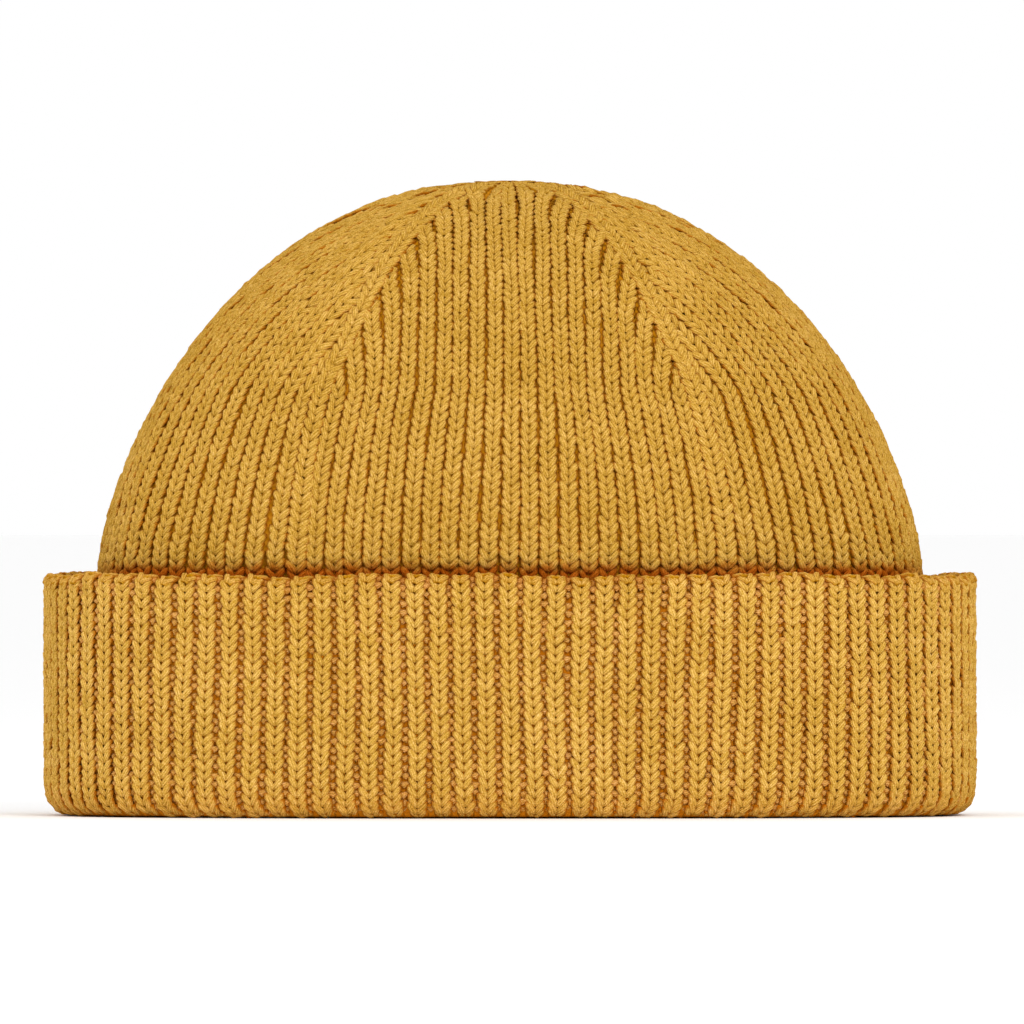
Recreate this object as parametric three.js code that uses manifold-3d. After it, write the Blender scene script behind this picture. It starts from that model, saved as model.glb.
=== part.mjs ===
// A fisherman beanie in chunky one-by-one rib. The crown is a knitted tube that narrows at
// four mitred decrease lines, and its lower edge is turned up outside as a deep cuff.
// Millimetres, +Z up. The origin is the middle of the opening, on the surface that the hat
// stands on. The front faces -Y, and +X is to the right of someone who looks at it.

import * as THREE from "three";
import { mergeVertices } from "three/addons/utils/BufferGeometryUtils.js";
import Module from "manifold-3d";

// The cuff, over the crests of its ribs.
const CUFF_WIDTH = 224;
const CUFF_DEPTH = 124;
const CUFF_HEIGHT = 58;
const CUFF_WALL = 4;
const CUFF_EDGE_RADIUS = 2.6; // the knitted edge at the top of the cuff
const FOLD_RADIUS = 4; // where the fabric turns up at the bottom
const FOLD_RISE = 4.2; // from the floor to the top of the turned fabric, inside the cuff

// The crown. Its tube flares down from the edge of the cuff to the fold.
const CROWN_RISE = 94.4; // from the edge of the cuff to the top of the hat
const CROWN_WALL = 3.4;
const SIDE_TUCK = 8.9; // how far in from the cuff's inner face it comes out, left and right
const FRONT_TUCK = 2; // the same at the front and back
const FOLD_CLEARANCE = 0.5; // between the tube's lower end and the cuff's inner face
const SEAT_GAP = 0.3; // between the tube's lower end and the fold that it stands on

// The ribs. A rib is one column of knit stitches, and a groove hides one of purl stitches.
const RIB_RELIEF = 1.2; // from crest to groove
const CREST_SHARE = 0.44; // of a rib's pitch that its crest takes up
const FOOT_RELIEF_SHARE = 0.3; // what is left of the relief where the fold meets the floor

// How square the hat is in plan: 2 is an ellipse, and more is squarer.
const CUFF_SQUARENESS = 2.7;
const CROWN_BASE_SQUARENESS = 2.6;
const CROWN_TOP_SQUARENESS = 2.1;

// The crown's outlines: (height share) ^ rise power + (width share) ^ spread power = 1.
const SIDE_OUTLINE = { rise: 1.55, spread: 2.2 };
const FRONT_OUTLINE = { rise: 2.6, spread: 2 };

// The rings of ribs up the crown. climb goes from 0 at the edge of the cuff to 1 at the top,
// and spine is the place of a decrease line, as a share of the quarter of the ring from the
// middle of the front. front and side count the ribs from the middle of a panel to the line.
const RIB_RINGS = [
  { climb: 0, spine: 0.4, front: 11, side: 15 },
  { climb: 0.13, spine: 0.4, front: 11, side: 15 },
  { climb: 0.26, spine: 0.4, front: 11, side: 15 },
  { climb: 0.38, spine: 0.4, front: 11, side: 15 },
  { climb: 0.46, spine: 0.385, front: 10, side: 14 },
  { climb: 0.54, spine: 0.38, front: 9, side: 13 },
  { climb: 0.61, spine: 0.38, front: 8, side: 12 },
  { climb: 0.67, spine: 0.38, front: 7, side: 10 },
  { climb: 0.73, spine: 0.375, front: 6, side: 9 },
  { climb: 0.79, spine: 0.38, front: 5, side: 7 },
  { climb: 0.84, spine: 0.39, front: 4, side: 6 },
  { climb: 0.89, spine: 0.4, front: 3, side: 5 },
  { climb: 0.95, spine: 0.4, front: 3, side: 5 },
];
const CUFF_RIBS = { spine: 0.423, front: 11, side: 15 }; // the same ribs, evenly spaced
const GATHER_DIMPLE = 1; // how far the drawn-up stitches sink at the very top

// The smooth inner faces.
const INSIDE_CORNERS = 48;
const INSIDE_RINGS = 11;
const THROUGH = 1; // how far a cut runs past the face that it goes through

// A ring has four panels, each round a quarter turn: front, right, back and left.
const PANEL_MIDDLES = [0, 1, 2, 3];
const OUTLINE_STEPS = 400; // how finely the length round a quarter of an outline is measured

const wasm = await Module();
wasm.setup();

// A quarter of a hat's outline in plan, from the middle of the front to the right side.
class QuarterOutline extends THREE.Curve {
  constructor({ halfWidth, halfDepth, squareness }) {
    super();
    this.halfWidth = halfWidth;
    this.halfDepth = halfDepth;
    this.power = 2 / squareness;
    this.arcLengthDivisions = OUTLINE_STEPS;
  }

  getPoint(t, target = new THREE.Vector3()) {
    const angle = (t * Math.PI) / 2;
    const across = Math.sin(angle) ** this.power;
    const forward = Math.max(Math.cos(angle), 0) ** this.power;
    return target.set(this.halfWidth * across, -this.halfDepth * forward, 0);
  }
}

// The point of an outline at a turn of 0 at the front, 1 at the right, 2 at the back and 3 at
// the left, spaced evenly by length in between.
function pointOnOutline(quarter, turn, z) {
  const round = ((turn % 4) + 4) % 4;
  const side = Math.floor(round);
  const along = round - side;
  const point = quarter.getPointAt(side % 2 ? 1 - along : along);
  const right = side < 2 ? 1 : -1;
  const front = side === 0 || side === 3 ? 1 : -1;
  return [right * point.x, front * point.y, z];
}

// The plan of the crown at a climb, set in from the crests of its ribs.
function crownSection(climb, inset) {
  const angle = (climb * Math.PI) / 2;
  const height = Math.sin(angle) ** (2 / SIDE_OUTLINE.rise);
  const width = Math.max(Math.cos(angle), 0) ** (2 / SIDE_OUTLINE.spread);
  const depth = (1 - height ** FRONT_OUTLINE.rise) ** (1 / FRONT_OUTLINE.spread);
  const tuckWidth = CUFF_WIDTH / 2 - CUFF_WALL - SIDE_TUCK;
  const tuckDepth = CUFF_DEPTH / 2 - CUFF_WALL - FRONT_TUCK;
  return {
    z: CUFF_HEIGHT + (CROWN_RISE - inset) * height,
    halfWidth: (tuckWidth - inset) * width,
    halfDepth: (tuckDepth - inset) * depth,
    squareness: THREE.MathUtils.lerp(CROWN_BASE_SQUARENESS, CROWN_TOP_SQUARENESS, climb),
  };
}

// The plan of the crown's tube at its lower end, inside the fold.
function tubeEnd(z, inset) {
  const setIn = CUFF_WALL + FOLD_CLEARANCE + inset;
  return {
    z,
    halfWidth: CUFF_WIDTH / 2 - setIn,
    halfDepth: CUFF_DEPTH / 2 - setIn,
    squareness: CUFF_SQUARENESS,
  };
}

function cuffSection(z, inset) {
  return {
    z,
    halfWidth: CUFF_WIDTH / 2 - inset,
    halfDepth: CUFF_DEPTH / 2 - inset,
    squareness: CUFF_SQUARENESS,
  };
}

// The places across a panel, in ribs from its middle: two corners of each crest, then a groove.
function ribPlaces(halfCount) {
  const places = [];
  for (let rib = 0; rib < halfCount; rib += 1) {
    places.push({ at: rib + CREST_SHARE / 2, groove: false });
    places.push({ at: rib + 0.5, groove: true });
    places.push({ at: rib + 1 - CREST_SHARE / 2, groove: false });
  }
  const mirrored = places.map(({ at, groove }) => ({ at: -at, groove })).reverse();
  return [...mirrored, ...places];
}

// One ring of ribs as four panels of points: front, right, back and left. The middle of each
// panel is a crest. section gives the plan of the crests or of the grooves, by its inset.
function ribbedRing({ section, relief, spine, front, side }) {
  const crest = section(0);
  const groove = section(relief);
  const crestOutline = new QuarterOutline(crest);
  const grooveOutline = new QuarterOutline(groove);
  return PANEL_MIDDLES.map((middle) => {
    const halfCount = middle % 2 ? side : front;
    const reach = middle % 2 ? 1 - spine : spine;
    return ribPlaces(halfCount).map((place) => {
      const turn = middle + (place.at / halfCount) * reach;
      return place.groove
        ? pointOnOutline(grooveOutline, turn, groove.z)
        : pointOnOutline(crestOutline, turn, crest.z);
    });
  });
}

function smoothRing(section) {
  const outline = new QuarterOutline(section);
  const corners = Array.from({ length: INSIDE_CORNERS }, (_, corner) =>
    pointOnOutline(outline, (4 * corner) / INSIDE_CORNERS, section.z),
  );
  return [corners];
}

// A closed solid through rings of points, from the lowest ring to a point at the top. A panel
// that loses ribs on the way up keeps its middle ones, and the others end at its last point.
function solidThrough(rings, bottomZ, topZ) {
  const vertices = [0, 0, bottomZ, 0, 0, topZ];
  const triangles = [];
  const numbered = rings.map((panels) =>
    panels.map((points) =>
      points.map((point) => {
        vertices.push(...point);
        return vertices.length / 3 - 1;
      }),
    ),
  );
  for (let row = 0; row + 1 < numbered.length; row += 1) {
    joinRings(numbered[row], numbered[row + 1], triangles);
  }
  const lowest = numbered[0].flat();
  const highest = numbered[numbered.length - 1].flat();
  lowest.forEach((from, i) => triangles.push(0, lowest[(i + 1) % lowest.length], from));
  highest.forEach((from, i) => triangles.push(1, from, highest[(i + 1) % highest.length]));
  return new wasm.Manifold(
    new wasm.Mesh({
      numProp: 3,
      vertProperties: new Float32Array(vertices),
      triVerts: new Uint32Array(triangles),
    }),
  );
}

function joinRings(lower, upper, triangles) {
  lower.forEach((points, panel) => {
    const above = upper[panel];
    const lost = (points.length - above.length) / 2;
    const over = (i) => above[THREE.MathUtils.clamp(i - lost, 0, above.length - 1)];
    for (let i = 0; i + 1 < points.length; i += 1) {
      joinStep(points[i], points[i + 1], over(i), over(i + 1), triangles);
    }
    const next = (panel + 1) % lower.length;
    const last = points[points.length - 1];
    joinStep(last, lower[next][0], above[above.length - 1], upper[next][0], triangles);
  });
}

function joinStep(lowerFrom, lowerTo, upperFrom, upperTo, triangles) {
  triangles.push(lowerFrom, lowerTo, upperTo);
  if (upperFrom !== upperTo) {
    triangles.push(lowerFrom, upperTo, upperFrom);
  }
}

// The space for the head, up to the crown's inner face.
function headHollow() {
  const tubeFoot = FOLD_RISE + SEAT_GAP;
  const rings = [
    smoothRing(tubeEnd(-THROUGH, CROWN_WALL)),
    smoothRing(tubeEnd(tubeFoot, CROWN_WALL)),
  ];
  for (let ring = 0; ring < INSIDE_RINGS; ring += 1) {
    rings.push(smoothRing(crownSection(ring / INSIDE_RINGS, CROWN_WALL)));
  }
  return solidThrough(rings, -THROUGH, crownSection(1, CROWN_WALL).z);
}

function crownSolid(hollow) {
  const tubeFoot = FOLD_RISE + SEAT_GAP;
  const tubeRing = ribbedRing({
    ...RIB_RINGS[0],
    relief: RIB_RELIEF,
    section: (inset) => tubeEnd(tubeFoot, inset),
  });
  const crownRings = RIB_RINGS.map((ring) =>
    ribbedRing({
      ...ring,
      relief: RIB_RELIEF,
      section: (inset) => crownSection(ring.climb, inset),
    }),
  );
  const topZ = crownSection(1, 0).z - GATHER_DIMPLE;
  return solidThrough([tubeRing, ...crownRings], tubeFoot, topZ).subtract(hollow);
}

// The rings up the outside of the cuff, rounded at the fold and at the knitted edge.
function cuffRings() {
  const roundSteps = [0, 0.5, 1];
  const fold = roundSteps.map((step) => {
    const angle = (step * Math.PI) / 2;
    return {
      z: FOLD_RADIUS * (1 - Math.cos(angle)),
      inset: FOLD_RADIUS * (1 - Math.sin(angle)),
      relief: RIB_RELIEF * THREE.MathUtils.lerp(FOOT_RELIEF_SHARE, 1, step),
    };
  });
  const edge = roundSteps.map((step) => {
    const angle = (step * Math.PI) / 2;
    return {
      z: CUFF_HEIGHT - CUFF_EDGE_RADIUS * (1 - Math.sin(angle)),
      inset: CUFF_EDGE_RADIUS * (1 - Math.cos(angle)),
      relief: RIB_RELIEF,
    };
  });
  return [...fold, ...edge].map(({ z, inset, relief }) =>
    ribbedRing({
      ...CUFF_RIBS,
      relief,
      section: (setIn) => cuffSection(z, inset + setIn),
    }),
  );
}

function cuffSolid(hollow) {
  const pocket = solidThrough(
    [
      smoothRing(cuffSection(FOLD_RISE, CUFF_WALL)),
      smoothRing(cuffSection(CUFF_HEIGHT + THROUGH, CUFF_WALL)),
    ],
    FOLD_RISE,
    CUFF_HEIGHT + THROUGH,
  );
  return solidThrough(cuffRings(), 0, CUFF_HEIGHT).subtract(pocket).subtract(hollow);
}

function geometryOf(solid) {
  const mesh = solid.getMesh();
  const positions = new THREE.BufferAttribute(new Float32Array(mesh.vertProperties), 3);
  const geometry = new THREE.BufferGeometry();
  geometry.setAttribute("position", positions);
  geometry.setIndex(new THREE.BufferAttribute(mesh.triVerts, 1));
  const merged = mergeVertices(geometry);
  merged.computeVertexNormals();
  return merged;
}

const crownYarn = new THREE.MeshStandardMaterial({
  color: 0xc49139,
  roughness: 0.92,
  metalness: 0,
});
const cuffYarn = new THREE.MeshStandardMaterial({
  color: 0xc8933d,
  roughness: 0.92,
  metalness: 0,
});

function namedMesh(name, solid, material) {
  const mesh = new THREE.Mesh(geometryOf(solid), material);
  mesh.name = name;
  return mesh;
}

const hollow = headHollow();
const beanie = new THREE.Group();
beanie.add(namedMesh("crown", crownSolid(hollow), crownYarn));
beanie.add(namedMesh("cuff", cuffSolid(hollow), cuffYarn));

export default beanie;
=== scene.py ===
"""A ribbed beanie in mustard chunky yarn, knitted stitch by stitch over its solids.

The hat stands open on its fold. Every wale, which is one column of knit stitches, is a line of
points on the hat's surface, and a Geometry Nodes tree puts one V-shaped stitch on each point.
Behind the stitches a ribbed cloth closes the crown and the cuff, inside and out. Lengths are
in metres, and the front faces -Y.
"""

import itertools
import math
from collections import namedtuple

import bmesh
import bpy
import numpy as np
from bpy.props import FloatProperty, FloatVectorProperty, IntProperty, PointerProperty
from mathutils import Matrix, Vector


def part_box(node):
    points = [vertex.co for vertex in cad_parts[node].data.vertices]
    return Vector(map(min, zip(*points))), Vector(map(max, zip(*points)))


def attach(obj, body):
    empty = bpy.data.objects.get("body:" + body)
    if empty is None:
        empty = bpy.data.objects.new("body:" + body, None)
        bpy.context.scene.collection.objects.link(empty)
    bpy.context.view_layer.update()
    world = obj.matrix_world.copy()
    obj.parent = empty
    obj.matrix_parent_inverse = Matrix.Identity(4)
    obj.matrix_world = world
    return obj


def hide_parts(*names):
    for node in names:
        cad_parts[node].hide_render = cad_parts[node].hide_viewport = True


bl_info = {
    "name": "Ribbed Beanie",
    "version": (1, 0, 0),
    "blender": (4, 5, 0),
    "location": "3D View > Sidebar > Beanie",
    "description": "Knits a ribbed beanie stitch by stitch, and lights it on a pale floor",
    "category": "Object",
}

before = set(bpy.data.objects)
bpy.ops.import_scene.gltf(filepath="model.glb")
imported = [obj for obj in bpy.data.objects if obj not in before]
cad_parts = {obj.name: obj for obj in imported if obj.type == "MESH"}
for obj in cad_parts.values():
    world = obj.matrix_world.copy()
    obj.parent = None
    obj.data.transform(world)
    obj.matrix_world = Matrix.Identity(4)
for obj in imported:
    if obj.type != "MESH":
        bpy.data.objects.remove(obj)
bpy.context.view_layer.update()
CROWN_LOW, CROWN_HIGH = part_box("crown")
CUFF_LOW, CUFF_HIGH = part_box("cuff")

# The outside of the cuff, and the crown's tube where it stands in the fold.
CUFF_HALF_WIDTH = (CUFF_HIGH.x - CUFF_LOW.x) / 2
CUFF_HALF_DEPTH = (CUFF_HIGH.y - CUFF_LOW.y) / 2
CUFF_TOP = CUFF_HIGH.z
TUBE_HALF_WIDTH = (CROWN_HIGH.x - CROWN_LOW.x) / 2
TUBE_HALF_DEPTH = (CROWN_HIGH.y - CROWN_LOW.y) / 2
TUBE_FOOT = CROWN_LOW.z
CROWN_RISE = CROWN_HIGH.z - CUFF_TOP

# The cloth, and how far the crown stands in from the cuff's inner face at the cuff's edge.
CUFF_WALL = 0.004
CROWN_WALL = 0.0034
SIDE_TUCK = 0.0089
FRONT_TUCK = 0.002
CROWN_HALF_WIDTH = CUFF_HALF_WIDTH - CUFF_WALL - SIDE_TUCK
CROWN_HALF_DEPTH = CUFF_HALF_DEPTH - CUFF_WALL - FRONT_TUCK

# How square the hat is in plan, and the powers of the crown's outlines.
CUFF_SQUARENESS = 2.7
CROWN_SQUARENESS = 2.6
TOP_SQUARENESS = 2.1
SIDE_RISE_POWER = 1.55
SIDE_SPREAD_POWER = 2.2
FRONT_RISE_POWER = 2.6
FRONT_SPREAD_POWER = 2.0
OUTLINE_STEPS = 400

# The fold at the bottom is half a circle across both layers of cloth.
FOLD_RADIUS = (CUFF_HALF_WIDTH - TUBE_HALF_WIDTH + CROWN_WALL) / 2
EDGE_RADIUS = CUFF_WALL / 2
EDGE_TURN_IN = 0.004  # how far the stitches go down behind the cuff's edge
CORNER_INSET = 0.0022  # how far the fold draws in at the hat's two ends
CORNER_HEIGHT = 0.009
SMOOTH_FOLD = (0.0005, 0.005)  # the cuff's grooves begin between these heights
CLOTH_DROP = 0.0007  # how far the cloth sags, to close the gap under the fold
DROP_HEIGHTS = (0.0008, 0.003)
BACK_GAP = 0.0003  # below the tube's foot, where the cuff's inner cloth ends
WALL_STEPS = 7
BEND_STEPS = 10
CLOTH_ROWS = 3  # rows of stitches to one row of the cloth's faces
LEAST_SHRINK = 0.3  # the least share of the cloth's relief, in the gather
MERGE_DISTANCE = 2e-6

# Ribs from the middle of the front to a decrease line, and on to the middle of the side.
FRONT_RIBS = 11
SIDE_RIBS = 15
QUARTER_RIBS = FRONT_RIBS + SIDE_RIBS
DECREASE_START = 0.38  # shares of the climb from the cuff's edge to the top of the crown
GATHER_START = 0.87
GATHER_END = 0.985
TOP_PITCH = 0.00395  # a rib's width where the gather starts
SIDE_WIDTH = 0.93  # how much narrower the stitches of the side panels are, in their ribs
LINE_REACH = 2.6  # a rib bends towards a decrease line from this many ribs before it
LINE_END = 0.25  # a rib ends this many ribs before a decrease line
LINE_BEND = 0.35  # how many ribs it has bent at its end
LINE_DIVE = 0.0008  # how deep it has gone by then, under the line

TURN_NUDGE = 0.002  # to each side, where the cloth's direction is measured

# Where a decrease line runs: shares of the climb, and of the quarter ring from the front.
LINE_CLIMBS = [0.38, 0.46, 0.54, 0.73, 0.87]
LINE_SHARES = [0.4, 0.385, 0.38, 0.377, 0.4]

# How the wales sway to the side on the way up, and the rows rise and fall on the way round.
# Each wave has its shift, its count in a quarter of the hat, which is in quarters so that it
# meets at the back, its height and its start.
SWAYS = [(0.0004, 1.25, 0.11, 0.3), (0.0001, 7.25, 0.31, 0.1), (0.00012, 4.75, 0.047, 0.7)]
RIPPLES = [(0.00028, 1.75, 0.19, 0.15), (0.00022, 4.25, 0.083, 0.6), (0.00016, 9.75, 0.052, 0.35)]
SWAY_FADE = 0.03  # both die out where a quarter of the ring is shorter than this
RIPPLE_FADE = 0.012  # the rows lie level on the floor, and ripple in full from this height

# The cuff's edge presses into the crown at the front and back.
CREASE_DEPTH = 0.0013
CREASE_ABOVE = 0.0022
CREASE_BELOW = 0.025
# Painted shade: the yarn is painted darker in the crease beside the cuff's edge, most of all at the
# front and back.
DARK_ABOVE = 0.0036  # how far up the yarn is darker beside the cuff's edge
DARK_ROUGHNESS = 0.004
CREASE_PATCH_SCALE = 400.0  # patches of that roughness to a metre
DARK_EDGE = 0.0004  # from here down it gets lighter again
DARK_BELOW = 0.003  # and down here no more
DARK_DEEP = 0.4  # shares of the crease's shade down there, and at the hat's sides
DARK_ASIDE = 0.35
FACING = (0.15, 0.65)  # from the sides to the front and back
# Painted shade: the yarn is painted darker down on the fold and over the cuff's edge.
FOLD_SHADE = 0.25  # how much darker the yarn is on the fold, and how far up
FOLD_SHADE_HEIGHT = 0.0055
EDGE_SHADE = 0.25  # and on the cuff's edge
PURL_ROWS = slice(3, -4)  # the rows of the cuff that have purl stitches

# One leg of a knit stitch, from its foot to where it goes behind the next stitch: rows up,
# shares of the stitch's half width across, yarn radii down into the cloth, and its girth.
LEG_RISE = np.array([-0.78, -0.38, 0.3, 0.7])
LEG_ACROSS = np.array([0.09, 0.28, 0.66, 0.85])
LEG_SINK = np.array([0.5, 0.08, 0.06, 0.8])
LEG_GIRTH = np.array([0.32, 0.38, 0.38, 0.25])
LEG_SIDES = 6
LEG_FLATNESS = 0.72  # a leg's thickness against its width
STITCH_PITCH = 0.005  # the size that the stitch is modelled at
STITCH_ROW = 0.0022
PURL_SHARES = (-0.9, 0.0, 0.9)  # a purl stitch's rings, along its half width
PURL_SAG = 0.35  # how far its middle hangs down, as a share of its height

# Steps in the yarn's painted shade: out of the cloth, and to the side of its wale, in shares.
LIT_YARN = (0.28, 0.92)
GROOVE_YARN = (0.3, 0.7)
FLANK_YARN = (0.74, 0.98)
# Painted shade on the shaded stitches, and darker yarn painted redder, as yarn in shade is.
SHADE_STRENGTH = 0.9  # the crease's colour in full shade, and how much it dims
SHADE_DIMMING = 0.1
DARKEST = 0.1  # the least brightness, and the powers of it that make dark yarn redder
GREEN_POWER = 1.3
BLUE_POWER = 3.2

# The yarn's surface. Scales are patches to a metre, and powers below 1 make humps broad.
PLY_POWER = 0.6
FIBRE_STRETCH = (3.0, 2.5, 40.0)  # how fast fibres change round, along and between stitches
FIBRE_NOISE = {"Detail": 3.0, "Roughness": 0.65}
MOTTLE_SCALE = 45.0
FUZZ_SCALE = 3200.0
RELIEF_SHARE = 0.6
GATHER_CALM_RADIUS = 0.014  # the relief dies down from here in
GATHER_RELIEF = 0.05  # and this share of it is left there
BLOOM_ROUGHNESS = 0.6  # of the light on the fibres' ends, and its colour
BLOOM_COLOUR = (1.0, 0.7, 0.25, 1.0)

# The plain cloth's surface, where a place across is in ribs from the middle of one.
LEG_SLANT = 1.3
LEG_POWER = 0.7
HEAD_POWER = 1.5
CLOTH_GROOVE = (0.32, 0.4)
CLOTH_SEAM = (0.0, 0.05)  # the notch in the middle of a wale, and the cloth's height in it
SEAM_HEIGHT = 0.4
HEAD_HEIGHT = 0.5
CLOTH_FIBRE_SCALE = 2600.0
CLOTH_FIBRE_HEIGHT = 0.25
CLOTH_RELIEF = 0.0007
# Painted shade: the cloth's low relief takes its deep colour.
CLOTH_LIGHT = 0.9  # how much of the yarn's colour full relief has
CLOTH_BRIGHTNESS = 0.8
CLOTH_CONTRAST = 0.4

# The camera looks level at the middle of the hat from far off, as the photo does.
PHOTO_PIXELS = 1024
PHOTO_CUFF_WIDTH = 934
PHOTO_SCALE = CUFF_HALF_WIDTH * 2 / PHOTO_CUFF_WIDTH  # metres to a pixel of the photo
PHOTO_CENTRE_X = 510
PHOTO_FLOOR_Y = 815
CAMERA_DISTANCE = 5.0
SENSOR_WIDTH = 36.0  # in millimetres
CLIP_END = 200
FLOOR_RADIUS = 60.0
FLOOR_ROUGHNESS = 0.9


def even_steps(travelled, step, *paths):
    """Values of the paths at even steps of about this length along the way."""
    stops = np.linspace(0, travelled[-1], round(travelled[-1] / step) + 1)
    return [np.interp(stops, travelled, path) for path in paths]


def lengths_along(across, up):
    """The lengths along a line from its first point to each one."""
    steps = np.hypot(np.diff(across), np.diff(up))
    return np.concatenate([[0], np.cumsum(steps)])


class Ring:
    """A level ring round the hat: its height, and its outline in plan measured by length.

    A turn is a place on the ring: 0 in the middle of the front, 1 at the right, 2 at the back.
    """

    def __init__(self, height, half_width, half_depth, squareness):
        angle = np.linspace(0, math.pi / 2, OUTLINE_STEPS)
        power = 2 / squareness
        self.height = height
        self.right = half_width * np.sin(angle) ** power
        self.forward = half_depth * np.cos(angle).clip(0) ** power
        self.reach = lengths_along(self.right, self.forward)
        self.quarter = self.reach[-1]

    def shift(self, waves, turns):
        """How far some waves shift the stitches here, in metres."""
        total = np.zeros_like(turns)
        for shift, around, rise, start in waves:
            total += shift * np.sin((turns * around + self.height / rise + start) * math.tau)
        return total * min(1, self.quarter / SWAY_FADE) ** 2

    def points(self, turns):
        lift = self.shift(RIPPLES, turns) * min(1, self.height / RIPPLE_FADE)
        turns = np.mod(turns + self.shift(SWAYS, turns) / self.quarter, 4)
        side = np.floor(turns)
        along = turns - side
        reach = np.where(side % 2 == 1, 1 - along, along) * self.quarter
        right = np.interp(reach, self.reach, self.right)
        forward = np.interp(reach, self.reach, self.forward)
        x = np.where(side < 2, right, -right)
        y = np.where((side == 0) | (side == 3), -forward, forward)
        return np.stack([x, y, self.height + lift], axis=-1)


# One row of crown stitches: its ring, the share of the quarter ring from the middle of the
# front to a decrease line, and the widths of the ribs of the front and of the side.
Level = namedtuple("Level", "ring line pitches")


def crease(height):
    """How far the crown is pressed in at a height, at the front and back."""
    above = height - CUFF_TOP
    spread = CREASE_ABOVE if above > 0 else CREASE_BELOW
    return CREASE_DEPTH * math.exp(-((above / spread) ** 2))


def crown_ring(climb):
    angle = climb * math.pi / 2
    rise = math.sin(angle) ** (2 / SIDE_RISE_POWER)
    width = math.cos(angle) ** (2 / SIDE_SPREAD_POWER)
    depth = (1 - rise**FRONT_RISE_POWER) ** (1 / FRONT_SPREAD_POWER)
    height = CUFF_TOP + CROWN_RISE * rise
    return Ring(
        height,
        CROWN_HALF_WIDTH * width,
        CROWN_HALF_DEPTH * depth - crease(height),
        CROWN_SQUARENESS + (TOP_SQUARENESS - CROWN_SQUARENESS) * climb,
    )


def tube_ring(height):
    """A ring of the crown's tube, which flares down inside the cuff."""
    down = (CUFF_TOP - height) / (CUFF_TOP - TUBE_FOOT)
    return Ring(
        height,
        CROWN_HALF_WIDTH + (TUBE_HALF_WIDTH - CROWN_HALF_WIDTH) * down,
        CROWN_HALF_DEPTH + (TUBE_HALF_DEPTH - CROWN_HALF_DEPTH) * down - crease(height),
        CROWN_SQUARENESS + (CUFF_SQUARENESS - CROWN_SQUARENESS) * down,
    )


def cuff_ring(inset, height):
    """A ring of the cuff, whose ends are rounded off down at the fold."""
    drawn_in = CORNER_INSET * max(0, 1 - height / CORNER_HEIGHT) ** 2
    half_width = CUFF_HALF_WIDTH - inset - drawn_in
    return Ring(height, half_width, CUFF_HALF_DEPTH - inset, CUFF_SQUARENESS)


def decrease_share(climb):
    return np.interp(climb, LINE_CLIMBS, LINE_SHARES)


def full_pitches(ring, line):
    """The widths of the ribs of the front and of the side, before any of them ends."""
    return np.array([line / FRONT_RIBS, (1 - line) / SIDE_RIBS]) * ring.quarter


def crown_level(climb):
    """A row of the crown. Its ribs' widths change little, because ribs end at the lines."""
    ring = crown_ring(climb)
    line = decrease_share(climb)
    if climb <= DECREASE_START:
        pitches = full_pitches(ring, line)
    elif climb >= GATHER_START:
        pitches = [TOP_PITCH * ring.quarter / crown_ring(GATHER_START).quarter] * 2
    else:
        start = full_pitches(crown_ring(DECREASE_START), decrease_share(DECREASE_START))
        along = (climb - DECREASE_START) / (GATHER_START - DECREASE_START)
        pitches = start + (TOP_PITCH - start) * along
    return Level(ring, line, pitches)


def tube_levels(row_height, rows):
    """Rows of the crown's tube, from this many below the edge of the cuff up to one below."""
    line = decrease_share(0)
    rings = [tube_ring(CUFF_TOP - row * row_height) for row in range(rows, 0, -1)]
    return [Level(ring, line, full_pitches(ring, line)) for ring in rings]


def crown_levels(row_height):
    """The rows of the crown from the edge of the cuff up into the gather."""
    climbs = np.linspace(0, GATHER_END, OUTLINE_STEPS)
    rings = [crown_ring(climb) for climb in climbs]
    heights = [ring.height for ring in rings]
    side = lengths_along([ring.right[-1] for ring in rings], heights)
    front = lengths_along([ring.forward[0] for ring in rings], heights)
    travelled = (side + front) / 2
    return [crown_level(climb) for climb in even_steps(travelled, row_height, climbs)[0]]


def cuff_path(depth):
    """The outside of the cuff in section, at a depth under its surface, as insets and heights.

    It starts inside the fold and goes round it, up the outside and over the edge.
    """
    bend = np.linspace(0, math.pi, BEND_STEPS + 1)
    fold, edge = FOLD_RADIUS - depth, EDGE_RADIUS - depth
    insets = [FOLD_RADIUS + fold * np.cos(bend), EDGE_RADIUS - edge * np.cos(bend)]
    heights = [FOLD_RADIUS - fold * np.sin(bend), CUFF_TOP - EDGE_RADIUS + edge * np.sin(bend)]
    return np.concatenate(insets), np.concatenate(heights)


def cuff_rings(row_height):
    """The rows of the cuff, from inside the fold to a little way down behind the edge."""
    insets, heights = cuff_path(0)
    insets = np.append(insets, insets[-1])
    heights = np.append(heights, heights[-1] - EDGE_TURN_IN)
    path = even_steps(lengths_along(insets, heights), row_height, insets, heights)
    return [cuff_ring(inset, height) for inset, height in zip(*path)]


def places(rings, turns):
    """The points on each ring at its own turns."""
    return np.array([ring.points(row) for ring, row in zip(rings, turns)])


def unit(vectors):
    return vectors / np.linalg.norm(vectors, axis=-1, keepdims=True).clip(1e-9)


def outward(rings, turns, closed=False):
    """The directions out of the cloth at each row's turns."""
    if closed:
        lower, upper = rings[-1:] + rings[:-1], rings[1:] + rings[:1]
    else:
        lower, upper = rings[:1] + rings[:-1], rings[1:] + rings[-1:]
    around = places(rings, turns + TURN_NUDGE) - places(rings, turns - TURN_NUDGE)
    return unit(np.cross(around, places(upper, turns) - places(lower, turns)))


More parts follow.
